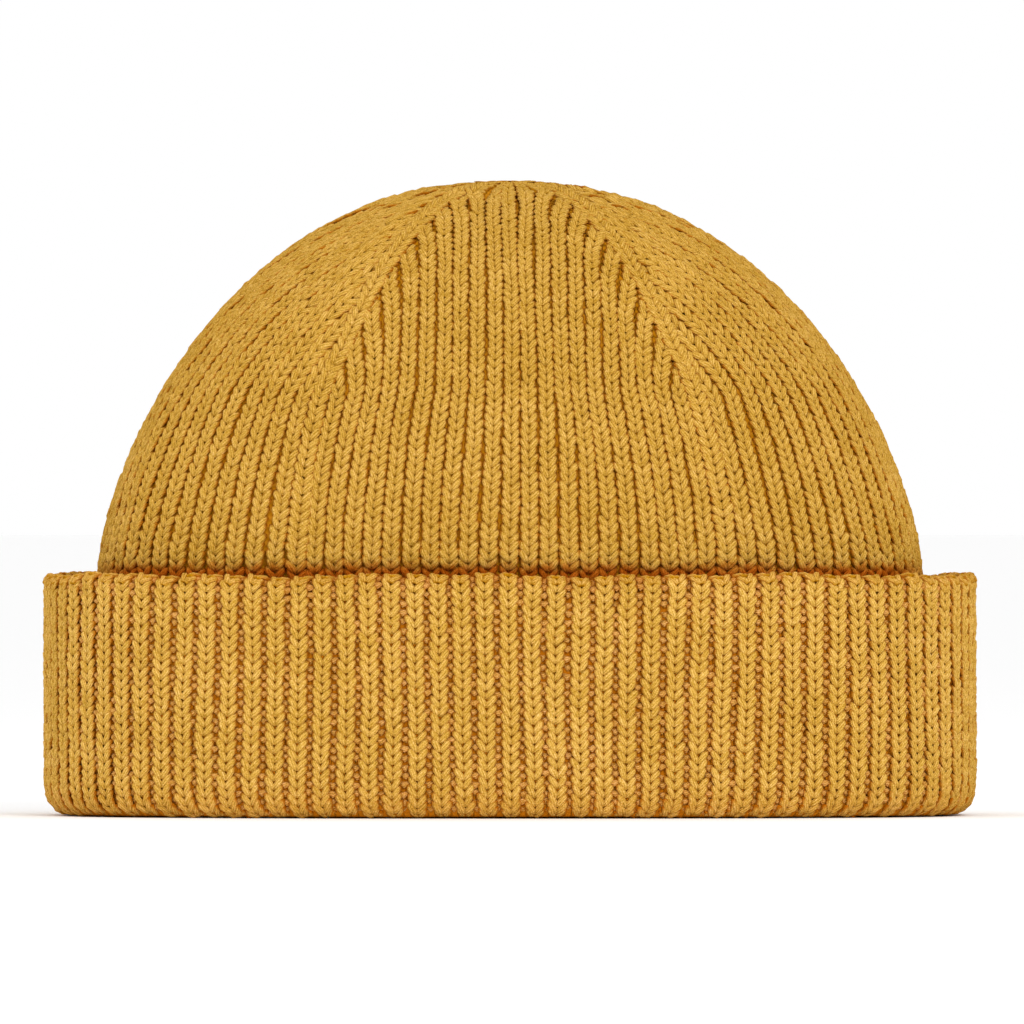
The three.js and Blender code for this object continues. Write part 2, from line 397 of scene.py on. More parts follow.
class Stitches:
    """The places of stitches: where each one is, which way is out and up, and its size."""

    def __init__(self, rings, turns, pitch, sink, alive=True):
        spots = places(rings, turns)
        out = outward(rings, turns)
        climb = np.gradient(spots, axis=0)
        kept = np.broadcast_to(alive, turns.shape)
        self.spot = (spots - out * np.broadcast_to(sink, turns.shape)[..., None])[kept]
        self.out = out[kept]
        self.rise = unit(climb)[kept]
        self.row = np.linalg.norm(climb, axis=-1)[kept]
        self.pitch = np.broadcast_to(pitch, turns.shape)[kept]
        self.shade = np.zeros(self.pitch.shape)

    def shade_crease(self):
        """Lets the stitches take painted shade in the crease, most of all at the front and back."""
        facing = eased(np.abs(self.out[:, 1]), *FACING)
        self.shade = DARK_ASIDE + (1 - DARK_ASIDE) * facing
        return self

    def shade_bends(self, edge_shade):
        """Paints shade on the stitches down on the fold a little, and on those over the cuff's
        edge.
        """
        fold = FOLD_SHADE * np.exp(-((self.spot[:, 2] / FOLD_SHADE_HEIGHT) ** 2))
        self.shade = (fold + edge_shade * self.out[:, 2].clip(0)).clip(0, 1)
        return self


def eased(value, low, high):
    """0 below the low value, 1 above the high one, and a smooth step between them."""
    share = np.clip((value - low) / (high - low), 0, 1)
    return share * share * (3 - 2 * share)


def panel_rows(levels, middle):
    """The rings of a panel's rows, their quarters, half the panel's widths and its ribs' widths.

    A panel is named by the turn at its middle, so the even ones are at the front and back.
    """
    rings = [level.ring for level in levels]
    quarter = np.array([ring.quarter for ring in rings])[:, None]
    line = np.array([level.line for level in levels])[:, None]
    pitch = np.array([level.pitches[middle % 2] for level in levels])[:, None]
    return rings, quarter, (1 - line if middle % 2 else line) * quarter, pitch


def panel_stitches(levels, middle, sink):
    """The wales of one panel of the crown. Each ends where it meets a decrease line."""
    rings, quarter, reach, pitch = panel_rows(levels, middle)
    most = (SIDE_RIBS if middle % 2 else FRONT_RIBS) - 1
    ribs = np.arange(-most, most + 1)[None, :]
    room = reach / pitch - np.abs(ribs)
    heights = np.array([ring.height for ring in rings])[:, None]
    decreasing = heights > crown_ring(DECREASE_START).height
    near = np.where(decreasing, 1 - eased(room, LINE_END, LINE_REACH), 0)
    bent = ribs + np.sign(ribs) * LINE_BEND * near
    widths = np.gradient(bent, axis=1) * pitch * (SIDE_WIDTH if middle % 2 else 1)
    turns = middle + bent * pitch / quarter
    diving = np.where(decreasing, 1 - eased(room, LINE_END, 1), 0)
    depth = (sink + LINE_DIVE * diving) * (pitch / pitch[0])
    return Stitches(rings, turns, widths, depth, room >= LINE_END)


def line_stitches(levels, sink, width):
    """The four wales that run up the decrease lines."""
    turns = np.array([[lv.line, 2 - lv.line, 2 + lv.line, 4 - lv.line] for lv in levels])
    pitch = np.array([level.pitches[0] * width for level in levels])[:, None]
    return Stitches([level.ring for level in levels], turns, pitch, sink)


def ring_stitches(rings, first, count, sink):
    """Stitches on every ring, on count wales from the first one, as the cuff has them."""
    turns = np.tile((first + np.arange(count)) / QUARTER_RIBS, (len(rings), 1))
    pitch = np.array([ring.quarter / QUARTER_RIBS for ring in rings])[:, None]
    return Stitches(rings, turns, pitch, sink)


def leg_rings(side, spread):
    """The rings of vertices along one leg of a stitch, from its foot to its end."""
    half = STITCH_PITCH / 2 * spread
    sink = LEG_GIRTH.max() * half * LEG_SINK
    centres = np.stack([side * half * LEG_ACROSS, -sink, LEG_RISE * STITCH_ROW], axis=1)
    along = unit(np.gradient(centres, axis=0))
    outwards = unit(np.array([0, 1, 0]) - along * along[:, 1:2])
    sideways = np.cross(outwards, along)
    angles = ((np.arange(LEG_SIDES) + 0.5) * math.tau / LEG_SIDES)[:, None]
    offsets = outwards[:, None] * np.cos(angles) * LEG_FLATNESS
    offsets = offsets + sideways[:, None] * np.sin(angles)
    return centres[:, None] + offsets * (LEG_GIRTH * half)[:, None, None]


def add_tube(made, rings):
    """A closed tube through rings of vertices, with u round it and v along it."""
    uv = made.loops.layers.uv.get("UVMap") or made.loops.layers.uv.new("UVMap")
    levels = [[made.verts.new(point) for point in ring] for ring in rings]
    steps, sides = len(rings) - 1, len(rings[0])
    for row, side in itertools.product(range(steps), range(sides)):
        corners = ((side, row), (side + 1, row), (side + 1, row + 1), (side, row + 1))
        face = made.faces.new([levels[along][around % sides] for around, along in corners])
        for loop, (around, along) in zip(face.loops, corners):
            loop[uv].uv = (around / sides, along / steps)
    for ring, along in ((levels[0][::-1], 0.0), (levels[-1], 1.0)):
        for loop in made.faces.new(ring).loops:
            loop[uv].uv = (0.5, along)


def finished_template(name, made):
    """An object to copy. Each vertex knows how far out of the cloth it is, and how far
    from the middle of its wale, both as shares.
    """
    bmesh.ops.recalc_face_normals(made, faces=made.faces)
    depths = [vert.co.y for vert in made.verts]
    lowest, highest = min(depths), max(depths)
    widest = max(vert.co.x for vert in made.verts)
    proud = made.verts.layers.float.new("proud")
    side = made.verts.layers.float.new("side")
    for vert in made.verts:
        vert[proud] = (vert.co.y - lowest) / (highest - lowest)
        vert[side] = abs(vert.co.x) / widest
    for face in made.faces:
        face.smooth = True
    return linked_mesh(name, made)


def stitch_template(name, spread):
    made = bmesh.new()
    for side in (-1, 1):
        add_tube(made, leg_rings(side, spread))
    return finished_template(name, made)


def purl_template(name, width, height):
    """The small head of a purl stitch, which lies across a groove."""
    made = bmesh.new()
    rings = []
    angles = np.arange(LEG_SIDES) * math.tau / LEG_SIDES
    for share in PURL_SHARES:
        radius = height / 2 * math.sqrt(1 - share * share)
        up = np.sin(angles) * radius - height * PURL_SAG * (1 - share * share)
        across = np.full_like(up, share * width / 2)
        rings.append(np.stack([across, np.cos(angles) * radius, up], axis=1))
    add_tube(made, rings)
    return finished_template(name, made)


def linked_object(name, data):
    made = bpy.data.objects.new(name, data)
    bpy.context.scene.collection.objects.link(made)
    return made


def linked_mesh(name, made, material=None):
    """An object with the faces that were made, and with a material where one is given."""
    mesh = bpy.data.meshes.new(name)
    made.to_mesh(mesh)
    made.free()
    if material:
        mesh.materials.append(material)
    return linked_object(name, mesh)


def removed(piece):
    mesh = piece.data
    bpy.data.objects.remove(piece)
    bpy.data.meshes.remove(mesh)


class Nodes:
    """Adds nodes to a tree. Each step gives the socket that holds its result."""

    def __init__(self, tree):
        self.tree = tree

    def add(self, kind, inputs=None, output=0, **settings):
        """A node with its settings, and with values or links in its inputs."""
        node = self.tree.nodes.new(kind)
        for name, value in settings.items():
            setattr(node, name, value)
        for key, value in (inputs or {}).items():
            if isinstance(value, bpy.types.NodeSocket):
                self.tree.links.new(value, node.inputs[key])
            else:
                node.inputs[key].default_value = value
        return node.outputs[output]

    def math(self, operation, first, second=0.0):
        return self.add("ShaderNodeMath", {0: first, 1: second}, operation=operation)

    def plus(self, first, second):
        return self.math("ADD", first, second)

    def minus(self, first, second):
        return self.math("SUBTRACT", first, second)

    def times(self, first, second):
        return self.math("MULTIPLY", first, second)

    def humps(self, steps, power):
        """0 at every whole step, and a hump up to 1 between them."""
        wave = self.math("SINE", self.times(steps, math.pi))
        return self.math("POWER", self.math("ABSOLUTE", wave), power)

    def step(self, value, low, high, least=0.0, most=1.0, kind="SMOOTHSTEP"):
        """From least at the low value to most at the high one."""
        inputs = {0: value, 1: low, 2: high, 3: least, 4: most}
        return self.add("ShaderNodeMapRange", inputs, interpolation_type=kind)

    def noise(self, place, scale, **more):
        return self.add("ShaderNodeTexNoise", {"Vector": place, "Scale": scale, **more})

    def vector(self, x, y, z):
        return self.add("ShaderNodeCombineXYZ", {0: x, 1: y, 2: z})

    def mixed(self, share, first, second, blend="MIX"):
        inputs = {0: share, 6: first, 7: second}
        return self.add("ShaderNodeMix", inputs, 2, data_type="RGBA", blend_type=blend)

    def attribute(self, name):
        return self.add("ShaderNodeAttribute", output="Fac", attribute_name=name)

    def spot(self):
        return self.add("ShaderNodeTexCoord", output="Object")

    def uv(self):
        """The two parts of the UV."""
        place = self.add("ShaderNodeUVMap", uv_map="UVMap")
        return self.add("ShaderNodeSeparateXYZ", {0: place}).node.outputs[:2]


KNIT_INPUTS = {
    "Places": "Geometry",
    "Stitch": "Object",
    "Size Jitter": "Float",
    "Lean Jitter": "Float",
    "Place Jitter": "Float",
    "Yarn": "Material",
    "Seed": "Int",
}

# What each kind of random difference adds to the seed.
LEAN_SEED = 0
SIZE_SEED = 5
TINT_SEED = 9
PLACE_SEED = 11
# What each piece adds to it. The crown's panels add 0 to 3.
LINES_SEED = 4
CUFF_SEED = 6
PURL_SEED = 8


def knitting_tree():
    """The Geometry Nodes tree that puts one stitch on each place."""
    tree = bpy.data.node_groups.new("Knitting", "GeometryNodeTree")
    tree.is_modifier = True
    for name, kind in KNIT_INPUTS.items():
        tree.interface.new_socket(name, in_out="INPUT", socket_type=f"NodeSocket{kind}")
    tree.interface.new_socket("Knit", in_out="OUTPUT", socket_type="NodeSocketGeometry")
    given = tree.nodes.new("NodeGroupInput").outputs
    nodes = Nodes(tree)

    def place(name, kind="FLOAT"):
        reader = "GeometryNodeInputNamedAttribute"
        return nodes.add(reader, {"Name": name}, "Attribute", data_type=kind)

    def jitter(most, seed_step):
        seed = nodes.plus(given["Seed"], seed_step)
        limits = {2: nodes.minus(0.0, most), 3: most, "Seed": seed}
        return nodes.add("FunctionNodeRandomValue", limits, 1, data_type="FLOAT")

    def jitters(most, seed_step):
        return nodes.vector(*[jitter(most, seed_step + axis) for axis in range(3)])

    rise, out = place("rise", "FLOAT_VECTOR"), place("out", "FLOAT_VECTOR")
    axes = {"Primary Axis": rise, "Secondary Axis": out}
    facing = nodes.add("FunctionNodeAxesToRotation", axes, primary_axis="Z", secondary_axis="Y")
    lean = nodes.add("FunctionNodeEulerToRotation", {0: jitters(given["Lean Jitter"], LEAN_SEED)})
    facing = nodes.add("FunctionNodeRotateRotation", {0: facing, 1: lean}, rotation_space="LOCAL")
    offset = jitters(given["Place Jitter"], PLACE_SEED)
    spots = nodes.add("GeometryNodeSetPosition", {"Geometry": given["Places"], "Offset": offset})
    tall = nodes.math("DIVIDE", place("row"), STITCH_ROW)
    wide = nodes.math("DIVIDE", place("pitch"), STITCH_PITCH)
    wide = nodes.times(wide, nodes.plus(jitter(given["Size Jitter"], SIZE_SEED), 1.0))
    size = nodes.vector(wide, wide, tall)
    stitch = nodes.add("GeometryNodeObjectInfo", {"Object": given["Stitch"]}, "Geometry")
    copies = {"Points": spots, "Instance": stitch, "Rotation": facing, "Scale": size}
    knit = nodes.add("GeometryNodeInstanceOnPoints", copies)
    tint = {"Geometry": knit, "Name": "tint", "Value": jitter(1.0, TINT_SEED)}
    knit = nodes.add("GeometryNodeStoreNamedAttribute", tint, data_type="FLOAT", domain="INSTANCE")
    knit = nodes.add("GeometryNodeRealizeInstances", {"Geometry": knit})
    knit = nodes.add("GeometryNodeSetMaterial", {"Geometry": knit, "Material": given["Yarn"]})
    tree.links.new(knit, tree.nodes.new("NodeGroupOutput").inputs[0])
    return tree


def knit_piece(name, stitches, template, material, seed, node, looseness=1.0):
    """Knits the stitches into one mesh that stands for a node of the frame."""
    settings = bpy.context.scene.beanie_knitting
    mesh = bpy.data.meshes.new(name)
    mesh.from_pydata(stitches.spot.tolist(), [], [])
    for known in ("out", "rise", "pitch", "row", "shade"):
        data = getattr(stitches, known)
        kind, field = ("FLOAT_VECTOR", "vector") if data.ndim > 1 else ("FLOAT", "value")
        mesh.attributes.new(known, kind, "POINT").data.foreach_set(field, data.ravel())
    piece = linked_object(name, mesh)
    tree = bpy.data.node_groups.get("Knitting") or knitting_tree()
    modifier = piece.modifiers.new("Knit", "NODES")
    modifier.node_group = tree
    values = {
        "Stitch": template,
        "Size Jitter": settings.size_jitter * looseness,
        "Lean Jitter": settings.lean_jitter * looseness,
        "Place Jitter": settings.place_jitter * looseness,
        "Yarn": material,
        "Seed": settings.seed + seed,
    }
    for socket in tree.interface.items_tree:
        if socket.name in values:
            modifier[socket.identifier] = values[socket.name]
    graph = bpy.context.evaluated_depsgraph_get()
    knitted = bpy.data.meshes.new_from_object(
        piece.evaluated_get(graph), preserve_all_data_layers=True, depsgraph=graph
    )
    piece.modifiers.remove(modifier)
    piece.data = knitted
    knitted.name = name
    for known in ("out", "rise", "pitch", "row"):
        knitted.attributes.remove(knitted.attributes[known])
    bpy.data.meshes.remove(mesh)
    settled(piece, node)


def settled(piece, node):
    """The piece rides on the hat and stands for a node, whose part it hides."""
    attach(piece, "root")
    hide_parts(node)


def rib_swell(ribs, room):
    """How far out the cloth is: 1 on a rib and 0 in a groove.

    ribs is the distance from the middle of the panel and room the distance to the decrease
    line, both counted in ribs.
    """
    return 0.5 + 0.5 * np.cos(np.where(room < 0.5, room, ribs) * math.tau)


class Cloth:
    """A mesh made of grids of points that meet at their edges."""

    def __init__(self):
        self.made = bmesh.new()
        self.uv = self.made.loops.layers.uv.new("UVMap")
        self.inside = self.made.verts.layers.float.new("inside")

    def add_grid(self, points, ribs, rows, inside=0.0):
        """Faces between rows of points. Their places in the pattern are ribs and rows."""
        verts = [[self.made.verts.new(point) for point in row] for row in points]
        for vert in itertools.chain(*verts):
            vert[self.inside] = inside
        for r, c in itertools.product(range(len(verts) - 1), range(len(verts[0]) - 1)):
            corners = ((r, c), (r, c + 1), (r + 1, c + 1), (r + 1, c))
            face = self.made.faces.new([verts[i][j] for i, j in corners])
            face.smooth = True
            for loop, (i, j) in zip(face.loops, corners):
                loop[self.uv].uv = (ribs[i][j], rows[i])

    def piece(self, name, material, node):
        bmesh.ops.remove_doubles(self.made, verts=self.made.verts, dist=MERGE_DISTANCE)
        bmesh.ops.recalc_face_normals(self.made, faces=self.made.faces)
        settled(linked_mesh(name, self.made, material), node)


def crown_cloth(levels, settings, material):
    """The crown's cloth: ribbed outside under the stitches, and ribbed inside between them."""
    cloth = Cloth()
    rows = CLOTH_ROWS * np.arange(len(levels))
    tip = np.array([0, 0, levels[-1].ring.height])
    for middle in range(4):
        columns = (SIDE_RIBS if middle % 2 else FRONT_RIBS) * settings.columns_to_a_rib
        shares = np.linspace(-1, 1, 2 * columns + 1)[None, :]
        rings, quarter, reach, pitch = panel_rows(levels, middle)
        turns = middle + shares * reach / quarter
        ribs = shares * reach / pitch
        room = (1 - np.abs(shares)) * reach / pitch
        spots = places(rings, turns)
        out = outward(rings, turns)
        shrink = (pitch / pitch[0]).clip(LEAST_SHRINK, 1)
        outer_depth = settings.cloth_depth + settings.crown_groove * (1 - rib_swell(ribs, room))
        inner_swell = rib_swell(ribs + 0.5, np.abs(room - 0.5))
        inner_depth = CROWN_WALL - settings.inside_relief * (inner_swell - 0.5)
        outer = spots - out * (outer_depth * shrink)[..., None]
        inner = spots - out * (inner_depth * np.sqrt(shrink))[..., None]
        top = np.broadcast_to(tip - [0, 0, settings.cloth_depth], outer[-1:].shape)
        under = np.broadcast_to(tip - [0, 0, CROWN_WALL], outer[-1:].shape)
        more_ribs = np.concatenate([ribs, ribs[-1:]])
        more_rows = np.append(rows, rows[-1] + CLOTH_ROWS)
        cloth.add_grid(np.concatenate([outer, top]), more_ribs, more_rows)
        inner_grid = np.concatenate([inner, under])[::-1]
        cloth.add_grid(inner_grid, more_ribs[::-1] + 0.5, more_rows[::-1], inside=1.0)
        cloth.add_grid(np.array([inner[0], outer[0]]), ribs[:2], rows[:2], inside=1.0)
    cloth.piece("crown_cloth", material, "crown")


def cuff_cloth(settings, material):
    """The cuff's cloth: a closed loop in section, ribbed outside and behind."""
    insets, heights = cuff_path(settings.cloth_depth)
    insets[-BEND_STEPS - 1 :] += np.linspace(0, CUFF_WALL - insets[-1], BEND_STEPS + 1)
    back = np.linspace(CUFF_TOP - EDGE_RADIUS, TUBE_FOOT - BACK_GAP, WALL_STEPS)[1:]
    insets = np.concatenate([insets, np.full(back.shape, CUFF_WALL)])
    heights = np.concatenate([heights, back])
    above = BEND_STEPS + 1
    wall = np.linspace(heights[BEND_STEPS], heights[above], WALL_STEPS)[1:-1]
    insets = np.insert(insets, above, np.full(wall.shape, insets[BEND_STEPS]))
    heights = np.insert(heights, above, wall)
    rings = [cuff_ring(inset, height) for inset, height in zip(insets, heights)]
    columns = 4 * QUARTER_RIBS * settings.columns_to_a_rib
    turns = np.tile(np.linspace(0, 4, columns + 1), (len(rings), 1))
    ribs = turns * QUARTER_RIBS
    swell = rib_swell(ribs, np.ones_like(ribs))
    behind = np.arange(len(rings)) >= len(rings) - len(back)
    outside_groove = settings.groove * eased(heights, *SMOOTH_FOLD)
    groove = np.where(behind, settings.inside_relief, outside_groove)[:, None]
    spots = places(rings, turns)
    out = outward(rings, turns, closed=True)
    spots = spots - out * (groove * (1 - swell))[..., None]
    spots[..., 2] -= CLOTH_DROP * (1 - eased(spots[..., 2], *DROP_HEIGHTS))
    rows = lengths_along(insets, heights) / settings.cuff_row
    cloth = Cloth()
    closed = np.concatenate([spots, spots[:1]])
    cloth.add_grid(closed, np.concatenate([ribs, ribs[:1]]), np.append(rows, rows[-1] + 1))
    cloth.piece("cuff_cloth", material, "cuff")


def shader_tree(name):
    material = bpy.data.materials.new(name)
    material.use_nodes = True
    tree = material.node_tree
    return material, Nodes(tree), tree.nodes["Principled BSDF"]


def shade_wool(nodes, shader, colour, relief):
    """Gives wool its colour and its relief. It is matte, with a soft bloom of fibres."""
    settings = bpy.context.scene.beanie_colours
    nodes.tree.links.new(colour, shader.inputs["Base Color"])
    nodes.tree.links.new(nodes.add("ShaderNodeBump", relief), shader.inputs["Normal"])
    shader.inputs["Roughness"].default_value = settings.roughness
    shader.inputs["Specular IOR Level"].default_value = 0.0
    shader.inputs["Sheen Weight"].default_value = settings.bloom
    shader.inputs["Sheen Roughness"].default_value = BLOOM_ROUGHNESS
    shader.inputs["Sheen Tint"].default_value = BLOOM_COLOUR


def fibre_tone(nodes, brightness):
    """Brightness as a colour: what is darker is also redder, as between fibres."""
    red = nodes.math("MAXIMUM", brightness, DARKEST)
    green = nodes.math("POWER", red, GREEN_POWER)
    blue = nodes.math("POWER", red, BLUE_POWER)
    return nodes.add("ShaderNodeCombineColor", {0: red, 1: green, 2: blue})


def crease_nearness(nodes, spot):
    """Painted shade: 1 in the crease beside the cuff's edge, 0 up on the crown, less down below."""
    height = nodes.add("ShaderNodeSeparateXYZ", {0: spot}, 2)
    uneven = nodes.minus(nodes.noise(spot, CREASE_PATCH_SCALE), 0.5)
    uneven = nodes.times(uneven, DARK_ROUGHNESS)
    above = nodes.step(nodes.plus(height, uneven), CUFF_TOP + DARK_ABOVE, CUFF_TOP)
    lighter = (CUFF_TOP - DARK_BELOW, CUFF_TOP - DARK_EDGE, DARK_DEEP)
    return nodes.times(above, nodes.step(height, *lighter))


def relief_strength(nodes, spot):
    """Full relief, but hardly any on the tiny stitches of the gathered top."""
    level = nodes.add("ShaderNodeVectorMath", {0: spot, 1: (1, 1, 0)}, operation="MULTIPLY")
    radius = nodes.add("ShaderNodeVectorMath", {0: level}, "Value", operation="LENGTH")
    return nodes.step(radius, 0.0, GATHER_CALM_RADIUS, GATHER_RELIEF, kind="LINEAR")


def yarn_material(name, colour, notch, creased=False):
    """Plied yarn on a stitch: its UV goes round the leg and along it.

    Deep down it has the notch's colour in the middle of a wale and the groove's beside it, and
    the crease's where the stitches are shaded. All three are painted shade.
    """
    settings = bpy.context.scene.beanie_colours
    material, nodes, shader = shader_tree(name)
    spot = nodes.spot()
    around, along = nodes.uv()
    tint, side, shade, proud = map(nodes.attribute, ("tint", "side", "shade", "proud"))
    turn = nodes.plus(nodes.times(around, settings.plies), nodes.times(along, settings.ply_twist))
    ply = nodes.humps(turn, PLY_POWER)
    stretched = [nodes.times(*pair) for pair in zip((turn, along, tint), FIBRE_STRETCH)]
    fibre = nodes.noise(nodes.vector(*stretched), 1.0, **FIBRE_NOISE)
    mottle = nodes.noise(spot, MOTTLE_SCALE)
    fuzz = nodes.noise(spot, FUZZ_SCALE)
    # Painted shade: deep yarn and a rib's flanks take the darker notch and groove colours.
    deep = nodes.mixed(nodes.step(side, *GROOVE_YARN), notch, settings.groove)
    flank = nodes.step(side, *FLANK_YARN, 0.0, settings.flank_shade, "LINEAR")
    lit = nodes.times(nodes.step(proud, *LIT_YARN), nodes.minus(1.0, flank))
    # On the crown, the painted shade falls in the crease beside the cuff's edge.
    if creased:
        shade = nodes.times(shade, crease_nearness(nodes, spot))
    body = nodes.mixed(lit, deep, colour)
    body = nodes.mixed(nodes.times(shade, SHADE_STRENGTH), body, settings.crease)
    # The creases between plies are painted shade; fuzz, fibres, stitches and mottle vary the yarn's
    # own tone.
    variations = (
        (fuzz, settings.fuzz_contrast, 0.5),
        (fibre, settings.fibre_contrast, 0.5),
        (ply, settings.ply_contrast, 0.7),
        (tint, settings.stitch_variation, 0.0),
        (mottle, settings.mottle, 0.5),
    )
    # Painted shade dims the shaded stitches.
    brightness = nodes.minus(1.0, nodes.times(shade, SHADE_DIMMING))
    for value, strength, middle in variations:
        change = nodes.times(nodes.minus(value, middle), strength)
        brightness = nodes.plus(change, brightness)
    shaded = nodes.mixed(1.0, body, fibre_tone(nodes, brightness), "MULTIPLY")
    height = nodes.times(nodes.plus(ply, nodes.plus(fibre, fuzz)), RELIEF_SHARE)
    relief = {"Distance": settings.ply_relief, "Height": height}
    shade_wool(nodes, shader, shaded, relief | {"Strength": relief_strength(nodes, spot)})
    return material


def cloth_material(name, colour, deep, purl_colour):
    """Ribbed cloth: its UV counts ribs across and rows up, and the stitches are relief."""
    material, nodes, shader = shader_tree(name)
    ribs, rows = nodes.uv()
    shifted = nodes.math("FRACT", nodes.plus(ribs, 0.5))
    across = nodes.math("ABSOLUTE", nodes.minus(shifted, 0.5))
    legs = nodes.humps(nodes.minus(rows, nodes.times(across, LEG_SLANT)), LEG_POWER)
    heads = nodes.humps(rows, HEAD_POWER)
    in_groove = nodes.step(across, *CLOTH_GROOVE)
    seam = nodes.plus(nodes.step(across, *CLOTH_SEAM), SEAM_HEIGHT)
    knit = nodes.times(nodes.times(legs, nodes.minus(1.0, in_groove)), seam)
    purl = nodes.times(heads, in_groove)
    relief = nodes.plus(knit, nodes.times(purl, HEAD_HEIGHT))
    fibre = nodes.noise(nodes.spot(), CLOTH_FIBRE_SCALE)
    # Painted shade: low relief inside takes the deep colour.
    inner = nodes.mixed(nodes.times(relief, CLOTH_LIGHT), deep, colour)
    # Painted shade: outside, the cloth under the stitches has the darker deep and purl colours.
    outer = nodes.mixed(purl, deep, purl_colour)
    body = nodes.mixed(nodes.attribute("inside"), outer, inner)
    brightness = nodes.plus(nodes.times(fibre, CLOTH_CONTRAST), CLOTH_BRIGHTNESS)
    body = nodes.mixed(1.0, body, brightness, "MULTIPLY")
    height = nodes.plus(relief, nodes.times(fibre, CLOTH_FIBRE_HEIGHT))
    shade_wool(nodes, shader, body, {"Strength": 1.0, "Distance": CLOTH_RELIEF, "Height": height})
    return material


def number(name, description, default, **more):
    return FloatProperty(name=name, description=description, default=default, **more)


def length(name, description, default):
    return number(name, description, default, unit="LENGTH")


def whole(name, description, default):
    return IntProperty(name=name, description=description, default=default)


def paint(name, description, red, green, blue):
    colour = (red, green, blue, 1.0)
    return FloatVectorProperty(
        name=name, description=description, default=colour, subtype="COLOR", size=4
    )


class BeanieKnitting(bpy.types.PropertyGroup):
    """Sizes of the knitting."""

    crown_row: length("Crown row", "Height of a row on the crown", 0.00215)
    cuff_row: length("Cuff row", "Height of a row on the cuff", 0.00214)
    tucked_rows: whole("Tucked rows", "Rows of the crown below the cuff's edge", 4)
    crown_spread: number("Crown stitch width", "Share of a crown rib's width it takes up", 1.0)
    cuff_spread: number("Cuff stitch width", "Share of a cuff rib's width it takes up", 0.84)
    stitch_sink: length("Stitch sink", "How far the yarn lies below the ribs' crests", 0.0008)
    lowest_yarn: length("Lowest yarn", "Height of the middle of the lowest yarn", 0.0012)
    line_width: number("Line width", "Width of a decrease line's stitches to the others'", 1.2)
    line_sink: length("Line sink", "How far a decrease line's yarn lies below the crests", 0.0005)
    purl_width: length("Purl width", "Length of a purl stitch across a groove", 0.0031)
    purl_height: length("Purl height", "Thickness of a purl stitch", 0.0019)
    purl_sink: length("Purl sink", "How far purl stitches lie below the ribs' crests", 0.0018)
    purl_looseness: number("Purl looseness", "How much looser the purl stitches lie", 1.8)
    cloth_depth: length("Cloth depth", "How far the cloth lies under the stitches", 0.001)
    crown_groove: length("Crown groove", "How much deeper it lies between crown ribs", 0.0007)
    groove: length("Cuff groove", "How much deeper the cuff's cloth lies between ribs", 0.0009)
    inside_relief: length("Inside relief", "Height of the ribs on the inside of the hat", 0.0008)
    columns_to_a_rib: whole("Columns to a rib", "Faces across one rib of the cloth", 4)
    size_jitter: number("Size jitter", "Share by which the stitches differ in width", 0.09)
    lean_jitter: number("Lean jitter", "How far the stitches lean", 0.11, subtype="ANGLE")
    place_jitter: length("Place jitter", "How far the stitches lie out of place", 0.00014)
    seed: whole("Seed", "Start of the random differences", 11)


class BeanieColours(bpy.types.PropertyGroup):
    """Colours and surface of the yarn, and of the floor."""

    yarn: paint("Yarn", "Mustard yarn where the light reaches it", 0.552, 0.307, 0.046)
    # Painted light: the cuff's yarn is the crown's yarn, painted a little lighter.
    cuff_yarn: paint("Cuff yarn", "The cuff's yarn, a little lighter", 0.626, 0.358, 0.06)
    # Painted shade: the yarn's colours deep down, in the notches, between the ribs and in the
    # crease.
    notch: paint("Notch", "Yarn deep down between a stitch's legs", 0.54, 0.27, 0.005)
    groove: paint("Groove", "Yarn deep down between the ribs", 0.39, 0.115, 0.001)
    crease: paint("Crease", "Yarn down beside the edge of the cuff", 0.42, 0.08, 0.002)
    # Painted shade: the cloth between the stitches, and its purl stitches, are darker than the
    # yarn.
    cloth: paint("Crown cloth", "Cloth between the stitches of the crown", 0.46, 0.18, 0.004)
    crown_purl: paint("Crown purl", "Purl stitches of the crown's cloth", 0.5, 0.2, 0.01)
    gap: paint("Gap", "Cloth between the stitches of the cuff", 0.5, 0.16, 0.005)
    purl: paint("Purl yarn", "Purl stitches in the cuff's grooves", 0.61, 0.3, 0.062)
    floor: paint("Floor", "Pale floor", 0.97, 0.97, 0.97)
    roughness: number("Roughness", "Roughness of the yarn", 0.85)
    bloom: number("Bloom", "Strength of the light on fibres' ends", 0.02)
    plies: number("Plies", "Plies round the yarn", 8.0)
    ply_twist: number("Ply twist", "Plies that pass by along a leg", 1.5)
    ply_relief: length("Ply relief", "Depth of the creases between the plies", 0.0002)
    # Painted shade: the creases between plies are painted darker.
    ply_contrast: number("Ply contrast", "How much darker the creases between plies are", 0.3)
    fibre_contrast: number("Fibre contrast", "How much the fibres differ in brightness", 1.1)
    fuzz_contrast: number("Fuzz contrast", "How much the fuzz differs in brightness", 1.3)
    # Painted shade: a rib's sides are painted with the groove's colour.
    flank_shade: number("Flank shade", "How much of the groove's colour a rib's sides take", 0.95)
    stitch_variation: number("Stitch variation", "How much the stitches differ in brightness", 0.05)
    mottle: number("Mottle", "How much the knit differs in brightness from place to place", 0.25)


class BeanieCloth(bpy.types.Operator):
    """Make the ribbed cloth of the crown and of the cuff, behind the stitches"""

    bl_idname = "beanie.cloth"
    bl_label = "Ribbed Cloth"

    def execute(self, context):
        sizes = context.scene.beanie_knitting
        colours = context.scene.beanie_colours
        palette = (colours.yarn, colours.cloth, colours.crown_purl)
        crown_material = cloth_material("crown cloth", *palette)
        cuff_material = cloth_material("cuff cloth", colours.cuff_yarn, colours.gap, colours.gap)
        row = CLOTH_ROWS * sizes.crown_row
        foot_rows = math.floor((CUFF_TOP - TUBE_FOOT) / row)
        foot_step = (CUFF_TOP - TUBE_FOOT) / foot_rows
        levels = tube_levels(foot_step, foot_rows) + crown_levels(row)
        crown_cloth(levels, sizes, crown_material)
        cuff_cloth(sizes, cuff_material)
        return {"FINISHED"}


